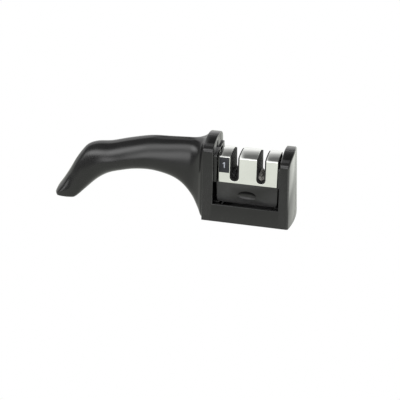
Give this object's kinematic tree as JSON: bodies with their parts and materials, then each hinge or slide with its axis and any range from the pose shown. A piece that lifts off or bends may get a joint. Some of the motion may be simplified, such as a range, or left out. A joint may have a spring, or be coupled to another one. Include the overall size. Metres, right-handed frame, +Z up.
{
  "type": "pull through knife sharpener",
  "caption": "Pull through knife sharpener with an arched handle and a lift-out cartridge whose paired abrasive wheels stand in open knife slots.",
  "frame": {"origin": "middle of the footprint on the surface that it stands on", "axes": "+X along the length from the handle to the head, +Y towards the rear, +Z up"},
  "size_m": [0.2286, 0.0498, 0.0747],
  "materials": {
    "black_plastic": "semi-gloss moulded black",
    "cartridge_plastic": "satin moulded black",
    "cover_plastic": "matt moulded black",
    "polished_steel": "polished stainless sheet, faintly brushed",
    "screw_steel": "zinc-plated",
    "shaft_steel": "ground",
    "bushing_brass": "turned",
    "diamond_grit": "nickel-bonded grit",
    "white_ceramic": "fired, unglazed",
    "spacer_plastic": "moulded",
    "pad_rubber": "matt",
    "label_ink": "satin film"
  },
  "bodies": {
    "housing": {"front_shell": "black_plastic", "rear_shell": "black_plastic", "housing_screws": "screw_steel", "base_cover": "cover_plastic", "base_screws": "screw_steel", "base_pad": "pad_rubber"},
    "cartridge": {"cartridge_front_half": "cartridge_plastic", "cartridge_rear_half": "cartridge_plastic", "cartridge_cover": "polished_steel", "cartridge_screws": "screw_steel", "coarse_bushings": "bushing_brass", "fine_bushings": "bushing_brass", "stage_label": "label_ink"},
    "coarse_left_wheel": {"coarse_left_shaft": "shaft_steel", "coarse_left_discs": "diamond_grit", "coarse_left_spacers": "spacer_plastic"},
    "coarse_right_wheel": {"coarse_right_shaft": "shaft_steel", "coarse_right_discs": "diamond_grit", "coarse_right_spacers": "spacer_plastic"},
    "fine_left_wheel": {"fine_left_shaft": "shaft_steel", "fine_left_discs": "white_ceramic", "fine_left_spacers": "spacer_plastic"},
    "fine_right_wheel": {"fine_right_shaft": "shaft_steel", "fine_right_discs": "white_ceramic", "fine_right_spacers": "spacer_plastic"}
  },
  "joints": [
    {"name": "cartridge_lift", "type": "slide", "parent": "housing", "child": "cartridge", "axis": [0, 0, 1], "range_m": [0, 0.055]},
    {"name": "coarse_left_spin", "type": "hinge", "parent": "cartridge", "child": "coarse_left_wheel", "pos_m": [0.05425, 0, 0.0376], "axis": [0, 1, 0], "continuous": true},
    {"name": "coarse_right_spin", "type": "hinge", "parent": "cartridge", "child": "coarse_right_wheel", "pos_m": [0.06525, 0, 0.0376], "axis": [0, 1, 0], "continuous": true},
    {"name": "fine_left_spin", "type": "hinge", "parent": "cartridge", "child": "fine_left_wheel", "pos_m": [0.07835, 0, 0.0376], "axis": [0, 1, 0], "continuous": true},
    {"name": "fine_right_spin", "type": "hinge", "parent": "cartridge", "child": "fine_right_wheel", "pos_m": [0.08935, 0, 0.0376], "axis": [0, 1, 0], "continuous": true}
  ]
}
